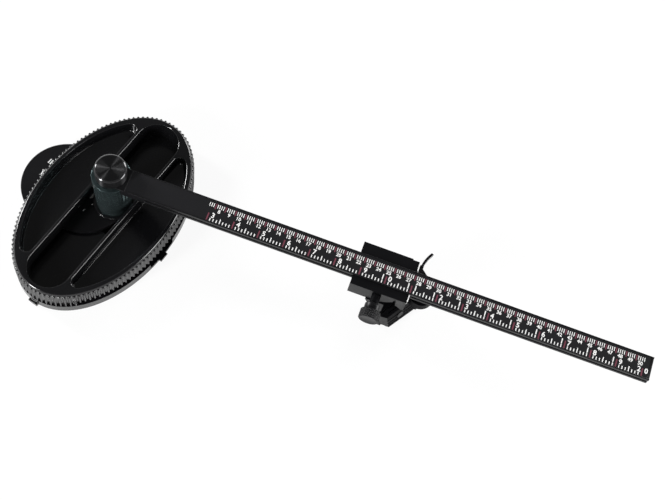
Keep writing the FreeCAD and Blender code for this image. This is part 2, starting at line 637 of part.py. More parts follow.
ARM_OUT = "(side_play + blade_arm_thickness)"
BLADE_OUT = "(side_play + blade_arm_thickness + blade_thickness)"
CLAMP_OUT = "(side_play + blade_arm_thickness + blade_thickness + clamp_thickness)"


# Start of the plates along the side, before they are cut off level with the front of the foot
PLATE_START = "(-foot_height * tan(foot_lean * 1 deg))"


def level_front(name, piece):
    """Piece on the side, cut off level with the front of the foot."""
    front = block(name + "_front", "2 * foot_length", "foot_length", "3 * foot_height",
                  INDEX_X + " - foot_toe - foot_length", HUB_Y + " - foot_reach - foot_length",
                  "-foot_height")
    return cut(name, on_side(piece), front)


def blade_arm():
    """Flat arm beside the foot, hinged at its rear, with a ledge under the lever's stem."""
    rear = "foot_length - blade_arm_rear"
    ledge_start = "ledge_along - ledge_width / 2"
    ledge_end = "ledge_along + ledge_width / 2"
    outline = [(PLATE_START, "blade_arm_toe_low"), (rear, "blade_arm_heel_low"),
               (rear, "blade_arm_top"), (ledge_end, "blade_arm_top"), (ledge_end, "ledge_top"),
               (ledge_start, "ledge_top"), (ledge_start, "blade_arm_top"),
               (PLATE_START, "blade_arm_top")]
    profile = front_plate("blade_arm_plate", outline, "blade_arm_thickness")
    bind(profile, y="-" + ARM_OUT)
    ledge = block("blade_arm_ledge", "ledge_width", "ledge_reach - side_play", "ledge_thickness",
                  ledge_start, "-ledge_reach", "ledge_top - ledge_thickness")
    pin_hole = level_rod("blade_arm_pin_hole", "pivot_diameter + 2 * turning_play",
                         "4 * blade_arm_thickness", "pivot_along", "-3 * blade_arm_thickness",
                         "pivot_height")
    screw_hole = level_rod("blade_arm_screw_hole", "blade_screw_diameter", "4 * blade_arm_thickness",
                           "blade_screw_along", "-3 * blade_arm_thickness", "blade_screw_height")
    whole = joined("blade_arm_whole", profile, ledge)
    return finish(level_front("blade_arm", cut("blade_arm_drilled", whole, pin_hole, screw_hole)),
                  "blade_arm")


def blade():
    """Thin slanted blade, pointed at the toe, held against the outside of the arm."""
    slope = "blade_slope * 1 deg"
    rear = ("blade_tip_along + blade_length * cos(%s)" % slope,
            "blade_length * sin(%s) - blade_tip_drop" % slope)
    back = (rear[0] + " - blade_width * sin(%s)" % slope, rear[1] + " + blade_width * cos(%s)" % slope)
    toe = ("blade_tip_along", "blade_width / cos(%s) - blade_tip_drop" % slope)
    outline = [("blade_tip_along", "-blade_tip_drop"), rear, back, toe]
    profile = front_plate("blade_plate", outline, "blade_thickness")
    bind(profile, y="-" + BLADE_OUT)
    hole = level_rod("blade_hole", "blade_screw_diameter + 2 * turning_play", "8 * blade_thickness",
                     "blade_screw_along", "-%s - 4 * blade_thickness" % BLADE_OUT, "blade_screw_height")
    return finish(on_side(cut("blade", profile, hole)), "blade")


def blade_clamp():
    """Plate that clamps the blade to the arm: a lip before the blade's tip, and grooves outside."""
    outline = [(PLATE_START, "clamp_toe_low"), ("clamp_end", "clamp_heel_low"),
               ("clamp_end", "clamp_top"), (PLATE_START, "clamp_top")]
    profile = bind(front_plate("blade_clamp_plate", outline, "clamp_thickness"), y="-" + CLAMP_OUT)
    lip = block("blade_clamp_lip", "blade_tip_along - clamp_lip_gap - " + PLATE_START,
                "blade_thickness + clamp_thickness / 2", "clamp_top - clamp_toe_low", PLATE_START,
                "-%s - clamp_thickness / 2" % BLADE_OUT, "clamp_toe_low")
    grooves = [block("blade_clamp_groove_%d" % number, "2 * clamp_end", "2 * clamp_groove_depth",
                     "clamp_groove_height", "-clamp_end / 2", "-%s - clamp_groove_depth" % CLAMP_OUT,
                     "%d * clamp_groove_pitch" % (number + 1))
               for number in range(int(size("clamp_groove_count")))]
    hole = level_rod("blade_clamp_hole", "blade_screw_diameter + 2 * turning_play",
                     "4 * clamp_thickness", "blade_screw_along", "-%s - clamp_thickness" % CLAMP_OUT,
                     "blade_screw_height")
    whole = joined("blade_clamp_whole", profile, lip)
    return finish(level_front("blade_clamp", cut("blade_clamp_drilled", whole, hole, *grooves)),
                  "blade_clamp")


def blade_screw():
    """Screw through the clamp plate and the blade into the arm."""
    shank = level_rod("blade_screw_shank", "blade_screw_diameter", CLAMP_OUT + " - side_play",
                      "blade_screw_along", "-" + CLAMP_OUT, "blade_screw_height")
    head = level_rod("blade_screw_head_round", "blade_screw_head", "blade_screw_head_height",
                     "blade_screw_along", "-%s - blade_screw_head_height" % CLAMP_OUT, "blade_screw_height")
    return finish(on_side(joined("blade_screw", shank, head)), "blade_screw")


def pivot_pin():
    """Headed pin pressed into the foot, on which the blade arm swings."""
    shank = level_rod("pivot_shank", "pivot_diameter", ARM_OUT + " + side_play + pivot_depth",
                      "pivot_along", "-%s - side_play" % ARM_OUT, "pivot_height")
    head = level_rod("pivot_head", "pivot_head_diameter", "pivot_head_height", "pivot_along",
                     "-%s - side_play - pivot_head_height" % ARM_OUT, "pivot_height")
    return finish(on_side(joined("pivot_pin", shank, head)), "pivot_pin")


def clamp_shoe():
    """Small block that the thumb screw presses against the near side of the bar."""
    shoe = block("clamp_shoe", "shoe_block_width", "shoe_block_depth",
                 "screw_axis_height - bar_underside + shoe_block_height",
                 SCREW_X + " - shoe_block_width / 2", NEAR_SIDE + " - shoe_block_depth", "bar_underside")
    return finish(shoe, "clamp_shoe")


def thumb_screw():
    """Clamp screw with a neck, a collar and a round knob, its axis level and toward the front."""
    collar_start = "(carriage_near - shoe_block_depth + neck_length)"
    collar_end = "(%s + collar_length)" % collar_start
    knob_end = "(%s + knob_length)" % collar_end
    inner = "knob_diameter / 2 - cap_edge"
    points = [("0", "0"), ("neck_diameter / 2", "0"), ("neck_diameter / 2", collar_start),
              ("collar_diameter / 2", collar_start), ("collar_diameter / 2", collar_end),
              (inner, collar_end), ("knob_diameter / 2", collar_end + " + cap_edge"),
              ("knob_diameter / 2", knob_end + " - cap_edge"), (inner, knob_end), ("0", knob_end)]
    body = turned("thumb_screw", points, "0", "0")
    body.Placement = FreeCAD.Placement(FreeCAD.Vector(), FreeCAD.Rotation(FreeCAD.Vector(1, 0, 0), 90))
    bind(body, x=SCREW_X, y=NEAR_SIDE + " - shoe_block_depth", z="screw_axis_height")
    return finish(body, "thumb_screw")


def polar(reach, bearing):
    """Point at a reach and bearing from the middle of the boss."""
    angle = math.radians(size(bearing))
    return FreeCAD.Vector(size(reach) * math.cos(angle), size(reach) * math.sin(angle), 0)


def lever_plate(low):
    """Flat part of the lever: a disc on the boss with an arm that narrows toward the tab."""
    radius = size("lever_disc_diameter") / 2
    elbow = math.radians(size("elbow_bearing"))
    inner = -size("wrist_inner")
    reach = size("wrist_reach")
    outline = [(-radius, 0), (-radius, reach), (inner, reach), (inner, size("wrist_low")),
               (size("shoulder_side"), size("shoulder_reach")),
               (radius * math.cos(elbow), radius * math.sin(elbow))]
    points = [FreeCAD.Vector(across, along, low) for across, along in outline]
    thickness = size("lever_thickness")
    arm = Part.Face(Part.makePolygon(points + points[:1])).extrude(FreeCAD.Vector(0, 0, thickness))
    return arm.fuse(Part.makeCylinder(radius, thickness, FreeCAD.Vector(0, 0, low)))


def lever_tab(low):
    """Curved upright tab at the end of the lever, lower edge rising toward its tip."""
    start = polar("tab_start_reach", "tab_start_bearing")
    end = polar("tab_end_reach", "tab_end_bearing")
    along = (end - start).normalize()
    side = along.cross(FreeCAD.Vector(0, 0, 1))
    outer = [start, (start + end) * 0.5 - side * size("tab_bulge"), end]
    inner = [place + side * size("tab_thickness") for place in outer]
    outline = Part.Wire([Part.Arc(*outer).toShape(), Part.makeLine(end, inner[2]),
                         Part.Arc(*reversed(inner)).toShape(), Part.makeLine(inner[0], start)])
    height = size("tab_height")
    sheet = Part.Face(outline).extrude(FreeCAD.Vector(0, 0, height))
    tip = height - size("tab_tip_height")
    wedge = [start, end, end + FreeCAD.Vector(0, 0, tip)]
    wide = side * (4 * size("tab_thickness"))
    below = Part.Face(Part.makePolygon([place - wide for place in wedge + wedge[:1]]))
    tab = sheet.cut(below.extrude(wide * 2))
    tab.translate(FreeCAD.Vector(0, 0, low - size("tab_drop")))
    return tab


def depth_lever():
    """Lever on the boss: flat plate with a stem below, and a curved upright tab at its end."""
    low = size(BOSS_TOP)
    stem_low = size("lever_stem_low")
    stem = Part.makeCylinder(size("lever_stem") / 2, low - stem_low, FreeCAD.Vector(0, 0, stem_low))
    thing = doc.addObject("Part::Feature", "depth_lever")
    thing.Shape = lever_plate(low).fuse(stem).fuse(lever_tab(low)).removeSplitter()
    return finish(bind(thing, x=INDEX_X + " + boss_offset", y=HUB_Y), "depth_lever")


def lever_ring():
    """Ring on the lever's stem, under the boss, which keeps the lever in."""
    low = BOSS_LOW + " - ring_thickness"
    points = [("lever_stem / 2", low), ("ring_diameter / 2", low), ("ring_diameter / 2", BOSS_LOW),
              ("lever_stem / 2", BOSS_LOW)]
    return finish(turned("lever_ring", points, INDEX_X + " + boss_offset", HUB_Y), "lever_ring")


PIECES = [base_plate, oval_body, body_screws, glide_button, guide_plate, cross_shoe, shoe_screw,
          channel_shoe, hub_post, post_screw, scale_bar, scale_strip, cap_knob, carriage, index_line,
          foot_block, pivot_pin, blade_arm, blade, blade_clamp, blade_screw, clamp_shoe, thumb_screw,
          depth_lever, lever_ring]
for piece in PIECES:
    piece()
doc.recompute()

failed = [thing.Name for thing in doc.Objects if {"Invalid", "Error"} & set(thing.State)]
for thing in SUBPARTS:
    if thing.Shape.isNull() or not thing.Shape.isValid() or thing.Shape.Volume <= 0:
        failed.append(thing.Label)
if failed:
    raise RuntimeError("not built: " + ", ".join(failed))
for thing in SUBPARTS:
    thing.Shape.exportStep("parts/%s.step" % thing.Label)
    box = thing.Shape.BoundBox
    print("%-14s %2d solids %9.1f mm3  x %.1f..%.1f  y %.1f..%.1f  z %.1f..%.1f"
          % (thing.Label, len(thing.Shape.Solids), thing.Shape.Volume,
             box.XMin, box.XMax, box.YMin, box.YMax, box.ZMin, box.ZMax))
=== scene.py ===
# %% [markdown]
# An oval and circle mat cutter. A fluted oval base lies on the mat, an arm turns on two
# shoes in the base's channel and groove, and a small cutting head slides along the arm's
# scale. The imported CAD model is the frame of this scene: every piece made here sits where
# a CAD piece sits, and moves with the same body.

# %% Frame and units
import json
import math

import bmesh
import bpy
import numpy as np
from mathutils import Matrix, Vector
from mathutils.geometry import tessellate_polygon

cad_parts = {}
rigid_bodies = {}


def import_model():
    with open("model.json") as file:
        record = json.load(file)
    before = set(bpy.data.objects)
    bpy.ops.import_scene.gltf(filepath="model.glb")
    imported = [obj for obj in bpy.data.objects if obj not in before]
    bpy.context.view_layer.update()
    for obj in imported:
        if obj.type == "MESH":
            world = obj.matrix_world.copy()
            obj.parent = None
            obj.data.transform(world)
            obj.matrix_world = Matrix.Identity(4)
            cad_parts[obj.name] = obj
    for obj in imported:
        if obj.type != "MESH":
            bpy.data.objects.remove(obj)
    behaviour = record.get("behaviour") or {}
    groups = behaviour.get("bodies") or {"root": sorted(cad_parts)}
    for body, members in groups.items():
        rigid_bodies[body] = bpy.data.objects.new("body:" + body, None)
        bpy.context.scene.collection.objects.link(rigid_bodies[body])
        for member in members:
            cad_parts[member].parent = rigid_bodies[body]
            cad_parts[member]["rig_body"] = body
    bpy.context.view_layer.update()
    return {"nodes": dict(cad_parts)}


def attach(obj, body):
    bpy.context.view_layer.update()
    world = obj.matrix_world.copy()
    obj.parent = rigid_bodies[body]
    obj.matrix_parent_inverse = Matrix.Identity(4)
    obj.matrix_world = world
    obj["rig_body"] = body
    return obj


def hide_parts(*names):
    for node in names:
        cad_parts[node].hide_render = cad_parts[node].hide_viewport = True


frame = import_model()
MM = 0.001
TAU = 2 * math.pi

# %% [markdown]
# Two places are used again and again: the hub, which is the middle of the post and of the
# cap over it, and the index line on the end of the carriage. The arm's bar runs along X, and
# its near side faces the camera. The base stands askew to it: the base's long axis is turned
# by 74.3 degrees. Lengths are written in millimetres, because that is how such a tool is
# measured, and are multiplied by MM when they become points of a mesh.

# %% Places on the object, in millimetres
HUB = np.array([1.86, 6.617])
INDEX_X = 153.26
BASE_TURN = math.radians(74.3)
BAR_TOP = 38.8
BAR_WIDTH = 12.0
NEAR_SIDE = HUB[1] - BAR_WIDTH / 2
print("near side of the bar at y =", round(float(NEAR_SIDE), 3))


# %% [markdown]
# New pieces are surfaces worked out on a grid. A grid of points becomes a mesh when each
# point is joined to its neighbours, and the last column to the first, because every grid
# here runs once round its piece. The Shell gathers such grids and flat fillings. Modelling
# by hand or with booleans would also give these shapes, but a grid has clean quads that
# follow the form, and its numbers can be changed at will.

# %% From grids of points to one skin
def grid_faces(rows, columns):
    """Corner numbers of the quads between neighbouring rows and columns; columns close up."""
    row, column = np.meshgrid(np.arange(rows - 1), np.arange(columns), indexing="ij")
    after = (column + 1) % columns
    quads = [row * columns + column, row * columns + after,
             (row + 1) * columns + after, (row + 1) * columns + column]
    return np.stack(quads, -1).reshape(-1, 4)


class Shell:
    """Points in millimetres and faces that are gathered into one closed mesh."""

    def __init__(self):
        self.points = []
        self.faces = []
        self.count = 0

    def add(self, points, faces):
        """Points as rows of x, y, z, and faces that number them from nought."""
        self.points.append(np.asarray(points, float))
        self.faces += [[int(corner) + self.count for corner in face] for face in faces]
        self.count += len(points)
        return self

    def grid(self, grid):
        """A grid of points, rows by columns, as quads."""
        rows, columns = grid.shape[:2]
        return self.add(grid.reshape(-1, 3), grid_faces(rows, columns))

    def flat(self, loops):
        """A level face inside the first loop of points and outside the others."""
        corners = tessellate_polygon([[Vector(point) for point in loop] for loop in loops])
        return self.add(np.concatenate(loops), corners)

    def piece(self, name, body, slot, smooth):
        """The finished object, shaded smooth across edges blunter than so many degrees."""
        mesh = bpy.data.meshes.new(name)
        mesh.from_pydata((np.concatenate(self.points) * MM).tolist(), [], self.faces)
        return finished(name, mesh, body, smooth)


# %% [markdown]
# Where grids and fillings meet, each brings its own points. They are merged, or the seams
# would show as cracks, and then every face is turned outwards. A count of open edges, which
# belong to one face alone, tells whether the skin is closed. Edges sharper than a given
# angle stay sharp in the shading. The piece then rides on its body, so it moves with it.

# %% Merging a skin and handing it to the frame
MERGE_DISTANCE = 2e-6
SLIVER = 1e-7


def finished(name, mesh, body, smooth):
    """Object of a mesh whose doubles are merged and whose faces point outwards."""
    work = bmesh.new()
    work.from_mesh(mesh)
    bmesh.ops.remove_doubles(work, verts=work.verts, dist=MERGE_DISTANCE)
    bmesh.ops.dissolve_degenerate(work, edges=work.edges, dist=SLIVER)
    bmesh.ops.recalc_face_normals(work, faces=work.faces)
    open_edges = sum(edge.is_boundary or edge.is_wire for edge in work.edges)
    work.to_mesh(mesh)
    work.free()
    mesh.shade_smooth()
    mesh.set_sharp_from_angle(angle=math.radians(smooth))
    made = bpy.data.objects.new(name, mesh)
    bpy.context.scene.collection.objects.link(made)
    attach(made, body)
    print(f"{name}: {len(mesh.polygons)} faces, {open_edges} open edges")
    return made


# %% [markdown]
# A moulded or machined edge is never quite sharp: its small rounding catches the light as
# a thin line. Where a CAD node has the right shape, there is no need to build it again. A
# copy of it is merged, its flat areas are joined, and a Bevel modifier rounds its edges.

# %% Copies of CAD nodes with rounded edges
EDGE_ANGLE = 30
SMOOTH_ANGLE = 35
FLAT_ANGLE = 0.5
CAD_MERGE_DISTANCE = 1e-6
BEVEL_STEPS = 2


def softened(node, radius):
    """Copy of a CAD node whose edges over EDGE_ANGLE are rounded by a radius in millimetres."""
    source = frame["nodes"][node]
    work = bmesh.new()
    work.from_mesh(source.data)
    bmesh.ops.remove_doubles(work, verts=work.verts, dist=CAD_MERGE_DISTANCE)
    bmesh.ops.dissolve_limit(work, angle_limit=math.radians(FLAT_ANGLE),
                             verts=work.verts, edges=work.edges)
    mesh = bpy.data.meshes.new("rounded_" + node)
    work.to_mesh(mesh)
    work.free()
    made = finished("rounded_" + node, mesh, source["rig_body"], SMOOTH_ANGLE)
    bevel = made.modifiers.new("rounded edges", "BEVEL")
    bevel.width = radius * MM
    bevel.segments = BEVEL_STEPS
    bevel.limit_method = "ANGLE"
    bevel.angle_limit = math.radians(EDGE_ANGLE)
    bevel.harden_normals = True
    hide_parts(node)
    return made


# %% [markdown]
# The oval body is the piece that shows most. Its outside has 120 upright flutes, evenly
# spaced round the rim. Equal steps of the oval's angle would crowd them at the ends, so
# the curve's length is added up in very small steps first, and the angle is read off it.

# %% The oval, at even distances
FLUTES = 120
HALF_LONG, HALF_WIDE = 55.4, 34.7
SMALL_STEPS = 20000


def oval_curve(half_long, half_wide, count):
    """Points (a cos t, b sin t) at equal distances, and outward normals (cos t / a, sin t / b)."""
    fine = np.linspace(0, TAU, SMALL_STEPS + 1)
    steps = np.hypot(np.diff(half_long * np.cos(fine)), np.diff(half_wide * np.sin(fine)))
    run = np.concatenate([[0], np.cumsum(steps)])
    angle = np.interp(np.arange(count) / count * run[-1], run, fine)
    points = np.stack([half_long * np.cos(angle), half_wide * np.sin(angle)], -1)
    normals = np.stack([np.cos(angle) / half_long, np.sin(angle) / half_wide], -1)
    return points, normals / np.linalg.norm(normals, axis=1, keepdims=True)


# %% [markdown]
# The other curves of the base are arcs. A wall is a profile, drawn once as outward distance
# and height, that is carried along such a curve. All of this is worked out with the oval's
# long axis along X, where the sums are simple, and turned to its place at the very end.

# %% Arcs, walls, and the turn into place
def arc(centre, radius, start, end, count):
    """Points centre + radius (cos t, sin t) from one angle to another, and their normals."""
    angle = np.linspace(start, end, count)
    normals = np.stack([np.cos(angle), np.sin(angle)], -1)
    return np.asarray(centre) + radius * normals, normals


def raised(level, height):
    """Grid of level points, row by row at the given heights."""
    upright = np.broadcast_to(height[:, None, None], level.shape[:2] + (1,))
    return np.concatenate([level, upright], -1)


def walls(points, normals, profile):
    """Grid of point + out * normal, for each (out, height) of a profile along a closed path."""
    out, height = np.asarray(profile, float).T
    return raised(points[None] + out[:, None, None] * normals[None], height)


def askew(points):
    """Points of the base's own frame, turned: (c x - s y, s x + c y)."""
    c, s = math.cos(BASE_TURN), math.sin(BASE_TURN)
    placed = np.array(points, float)
    placed[..., 0] = c * points[..., 0] - s * points[..., 1]
    placed[..., 1] = s * points[..., 0] + c * points[..., 1]
    return placed


# %% [markdown]
# Seen from above, the channel is a slot with round ends, and each pocket is the part of a
# smaller oval that lies beyond the channel's rib. Its two corners are round: their centres
# lie a corner radius inside the oval and as far from the rib, so that each arc runs smoothly
# into both.

# %% Channel and pocket outlines
CHANNEL_LENGTH, CHANNEL_WIDTH = 103.6, 21.2
RIB = 1.5
END_BORDER, SIDE_BORDER, CORNER = 5.0, 3.4, 3.2
END_POINTS, RIM_POINTS, CORNER_POINTS = 33, 720, 12


def channel_outline():
    """Slot with round ends: two half circles joined by straight runs."""
    radius = CHANNEL_WIDTH / 2
    reach = CHANNEL_LENGTH / 2 - radius
    right, right_out = arc((reach, 0), radius, -TAU / 4, TAU / 4, END_POINTS)
    left, left_out = arc((-reach, 0), radius, TAU / 4, 3 * TAU / 4, END_POINTS)
    return np.concatenate([right, left]), np.concatenate([right_out, left_out])


def pocket_outline(side):
    """Inset oval where its points, moved in by CORNER, clear the rib; then an arc at each end."""
    rib = CHANNEL_WIDTH / 2 + RIB
    rim, out = oval_curve(HALF_LONG - END_BORDER, HALF_WIDE - SIDE_BORDER, RIM_POINTS)
    inside = rim - CORNER * out
    kept = inside[:, 1] > rib + CORNER
    rim, out = rim[kept], out[kept]
    tilt = math.atan2(out[0, 1], out[0, 0])
    first, first_out = arc(inside[kept][0], CORNER, -TAU / 4, tilt, CORNER_POINTS)
    last, last_out = arc(inside[kept][-1], CORNER, TAU / 2 - tilt, 3 * TAU / 4, CORNER_POINTS)
    points = np.concatenate([first, rim[1:-1], last])
    normals = np.concatenate([first_out, out[1:-1], last_out])
    return points * side, normals * side


# %% [markdown]
# The flutes are the body's most striking feature, so they are real geometry: a bump would
# leave the rim's outline smooth. A wave goes round the rim once for each flute. It fades out
# near the top, where a plain bevelled ring closes the flutes off, as on the real moulding.

# %% Fluted skin
FLUTE_DEPTH = 1.0
POINTS_PER_FLUTE = 12
FLUTE_FULLNESS = 0.8
BODY_LOW, BODY_TOP, PLATE_TOP, POCKET_FLOOR = 9.0, 18.0, 5.5, 11.0
RIM_ROWS = [(BODY_LOW, 1, 0), (16.3, 1, 0), (16.65, 0.85, 0), (16.85, 0.45, 0), (16.9, 0, 0),
            (17.1, 0, 0.1), (17.6, 0, 0.45), (17.85, 0, 0.66), (17.97, 0, 0.85),
            (BODY_TOP, 0, 1.05)]


def fluted(rows):
    """Oval moved in by depth * (share * wave ** fullness + 1 - share) + inset.

    The wave is (1 - cos(turn)) / 2, and each row is a height, a share and an inset.
    """
    points, normals = oval_curve(HALF_LONG, HALF_WIDE, FLUTES * POINTS_PER_FLUTE)
    wave = 0.5 - 0.5 * np.cos(TAU * np.arange(len(points)) / POINTS_PER_FLUTE)
    height, share, inset = np.asarray(rows, float).T
    share = share[:, None]
    inward = FLUTE_DEPTH * (share * wave ** FLUTE_FULLNESS + 1 - share) + inset[:, None]
    return raised(points[None] - inward[..., None] * normals[None], height)


# %% [markdown]
# The body's skin is then a handful of profiles carried along the outlines: the fluted
# outside, the channel's walls, and the pockets' walls with a small fillet at the floor. Each
# upper edge is rounded, and shows as a thin bright line. Level faces with holes fill what is
# left. Below, the body stands on the plate with two end walls, and the throat between them
# lets the arm's plate pass.

# %% Oval body
END_WALL = 45.0
CHANNEL_EDGE = [(0.5, BODY_TOP), (0.25, 17.93), (0.07, 17.75), (0, 17.5), (0, BODY_LOW)]
POCKET_EDGE = [(0.6, BODY_TOP), (0.3, 17.93), (0.08, 17.74), (-0.02, 17.45),
               (-0.3, 12.2), (-0.45, 11.6), (-0.75, 11.2), (-1.2, POCKET_FLOOR)]


def end_wall(shell, side, skin):
    """Prism from plate to body between the fluted skin and the channel, beyond END_WALL."""
    outer = skin[0][skin[0][:, 0] * side > END_WALL][:, :2]
    outer = outer[np.argsort(np.arctan2(outer[:, 1], outer[:, 0] * side))]
    slot = channel_outline()[0]
    inner = slot[slot[:, 0] * side > END_WALL]
    inner = inner[np.argsort(-inner[:, 1])]
    edge = np.concatenate([outer, inner])
    low = np.column_stack([edge, np.full(len(edge), PLATE_TOP)])
    high = np.column_stack([edge, np.full(len(edge), BODY_LOW)])
    wall = askew(np.stack([low, high]))
    shell.grid(wall)
    shell.flat([wall[0]])
    shell.flat([wall[1]])


def oval_body():
    """Upper body and the two end walls that carry it on the plate."""
    shell = Shell()
    skin = fluted(RIM_ROWS)
    channel = walls(*channel_outline(), CHANNEL_EDGE)
    pockets = [walls(*pocket_outline(side), POCKET_EDGE) for side in (1, -1)]
    for grid in [skin, channel, *pockets]:
        shell.grid(askew(grid))
    shell.flat([askew(loop) for loop in (skin[-1], channel[0], pockets[0][0], pockets[1][0])])
    shell.flat([askew(loop) for loop in (skin[0], channel[-1])])
    for pocket in pockets:
        shell.flat([askew(pocket[-1])])
    for side in (1, -1):
        end_wall(shell, side, skin)
    return shell.piece("oval_rim", "base", "black_plastic", smooth=50)


oval = oval_body()
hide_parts("oval_body")


# %% [markdown]
# The cap is a turned metal piece: a half section spun about the hub. A Screw modifier would
# do the same, but here it takes a few lines of numpy, and its points are known. Those on the
# axis fall together and are merged, so the ends are closed. The top is hollow by a tenth of
# a millimetre, and the edge has a chamfer, which is the part that flashes.

# %% Cap
CAP_POINTS = 128
CAP_SECTION = [(0, 24.8), (2.6, 24.8), (3, 25.2), (3, BAR_TOP), (7.3, BAR_TOP), (7.55, 38.95),
               (7.6, 39.2), (7.6, 45.05), (7.52, 45.2), (6.85, 45.72), (6.7, 45.78), (6.5, 45.8),
               (3.2, 45.74), (0, 45.7)]


def spun(section, count, centre):
    """Grid of (x0 + r cos t, y0 + r sin t, z) for each (r, z) of a section."""
    radius, height = np.asarray(section, float).T
    angle = np.arange(count) / count * TAU
    x = centre[0] + radius[:, None] * np.cos(angle)
    y = centre[1] + radius[:, None] * np.sin(angle)
    return np.stack([x, y, np.broadcast_to(height[:, None], x.shape)], -1)


cap = Shell().grid(spun(CAP_SECTION, CAP_POINTS, HUB))
cap = cap.piece("turned_cap", "cap", "black_metal", smooth=25)
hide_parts("cap_knob")


# %% [markdown]
# The clamp screw's knob has a diamond knurl: two families of fine grooves that wind round
# the barrel in opposite ways. The lower of the two wave heights counts at every point, which
# leaves small pyramids. The screw lies along -Y, and its sections are written as radius and
# distance along the screw.

# %% Clamp screw
SCREW_X, SCREW_Z = INDEX_X - 14.3, 35.0
SCREW_START = NEAR_SIDE - 1.6
NECK_LENGTH = 8.2
NECK_AND_COLLAR = [(0, 0), (2.0, 0), (2.2, 0.2), (2.2, 8.0), (2.2, NECK_LENGTH), (3.5, NECK_LENGTH),
                   (3.8, 8.45), (3.8, 11.1), (3.6, 11.4), (4.2, 11.4), (4.5, 11.5)]
KNOB_END = [(4.6, 16.15), (4.35, 16.2), (3.9, 16.05), (0, 16.0)]
BARREL_START, BARREL_END, BARREL_ROWS = 11.8, 15.8, 33
BARREL_RADIUS = 5.0
GROOVES, GROOVE_STEP, GROOVE_DEPTH = 30, 1.15, 0.28
SCREW_POINTS = 288


def knurl(angle, along):
    """R - depth * (1 - the lower of two triangle waves of turn * grooves +- distance / step)."""
    turn = angle * GROOVES / TAU
    wind = (along[:, None] - BARREL_START) / GROOVE_STEP
    waves = [np.abs(((turn + way * wind) % 1) * 2 - 1) for way in (1, -1)]
    return BARREL_RADIUS - GROOVE_DEPTH * (1 - np.minimum(*waves))


def knurled_screw():
    """Grid of (x0 + r cos t, y0 - distance, z0 + r sin t), rows from neck to knob's end."""
    angle = np.arange(SCREW_POINTS) / SCREW_POINTS * TAU
    barrel = np.linspace(BARREL_START, BARREL_END, BARREL_ROWS)
    before, after = np.array(NECK_AND_COLLAR), np.array(KNOB_END)
    along = np.concatenate([before[:, 1], barrel, after[:, 1]])
    radius = np.concatenate([np.repeat(before[:, :1], SCREW_POINTS, axis=1), knurl(angle, barrel),
                             np.repeat(after[:, :1], SCREW_POINTS, axis=1)])
    x, z = SCREW_X + radius * np.cos(angle), SCREW_Z + radius * np.sin(angle)
    y = np.broadcast_to(SCREW_START - along[:, None], x.shape)
    shell = Shell().grid(np.stack([x, y, z], -1))
    return shell.piece("knurled_screw", "screw", "black_metal", smooth=40)


screw = knurled_screw()
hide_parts("thumb_screw")


# %% [markdown]
# The other shaped pieces keep the CAD shape and get rounded edges. Moulded plastic has the
# larger rounding, and sheet and bar metal a very small one. The screws, the blade, the scale
# strip and the index line stay as the CAD's own nodes, because their edges are too small to
# tell.

# %% Rounded copies
ROUNDED = {
    "base_plate": (0.35, "black_plastic"), "guide_plate": (0.25, "black_metal"),
    "channel_shoe": (0.25, "black_plastic"), "cross_shoe": (0.2, "white_nylon"),
    "glide_button": (0.2, "white_nylon"), "hub_post": (0.3, "grey_metal"),
    "scale_bar": (0.22, "black_metal"), "carriage": (0.3, "black_plastic"),
    "foot_block": (0.3, "black_plastic"), "blade_arm": (0.18, "black_metal"),
    "blade_clamp": (0.1, "black_metal"), "pivot_pin": (0.15, "steel"),
    "blade_screw": (0.1, "black_metal"), "clamp_shoe": (0.1, "steel"),
    "depth_lever": (0.25, "black_plastic"), "lever_ring": (0.1, "steel"),
}
rounded = {node: softened(node, radius) for node, (radius, slot) in ROUNDED.items()}

# %% [markdown]
# The scale is printed on a strip between the bar's lips. Near the front lip is the coarse
# scale, with numbers 12.7 mm apart and eight parts to a step. Behind it is the fine scale,
# numbered every 5 mm. An image texture could carry such print, but here each tick is a thin
# closed box. The print is real geometry, and stays sharp however near the camera comes.

# %% Ticks as thin boxes
STRIP_TOP = 38.6
PRINT = 0.03


def bars(centres, widths, lengths, low=STRIP_TOP, turn=0.0):
    """Corner = centre + (width x, length y) / 2 turned by degrees; x and y are each -1 or 1."""
    signs = np.array([(x, y, z) for z in (0, 1)
                      for x, y in ((-1, -1), (1, -1), (1, 1), (-1, 1))], float)
    half = np.column_stack([widths, lengths]) / 2
    c, s = math.cos(math.radians(turn)), math.sin(math.radians(turn))
    flat = (half[:, None] * signs[:, :2]) @ np.array([(c, s), (-s, c)])
    corners = np.empty((len(centres), 8, 3))
    corners[..., :2] = centres[:, None] + flat
    corners[..., 2] = low + PRINT * signs[:, 2]
    box = [(0, 3, 2, 1), (4, 5, 6, 7), (0, 1, 5, 4), (1, 2, 6, 5), (2, 3, 7, 6), (3, 0, 4, 7)]
    faces = np.array(box)[None] + 8 * np.arange(len(centres))[:, None, None]
    return corners.reshape(-1, 3), faces.reshape(-1, 4)


def row_of_bars(shell, x, y, width, length):
    """Bars at every x; y and length are one number for all, or one for each."""
    same = np.ones(len(x))
    shell.add(*bars(np.column_stack([x, y * same]), width * same, length * same))


# %% [markdown]
# Numbers are Blender text, made bolder by an offset and a little narrower by a squeeze. A
# text object can't be handed over as it is: it is turned into a mesh, whose points are
# centred on their own middle and then moved to their place.

# %% Printed numbers
DIGIT_SHARE = 0.7
BOLDNESS = 0.035
SQUEEZE = 0.95


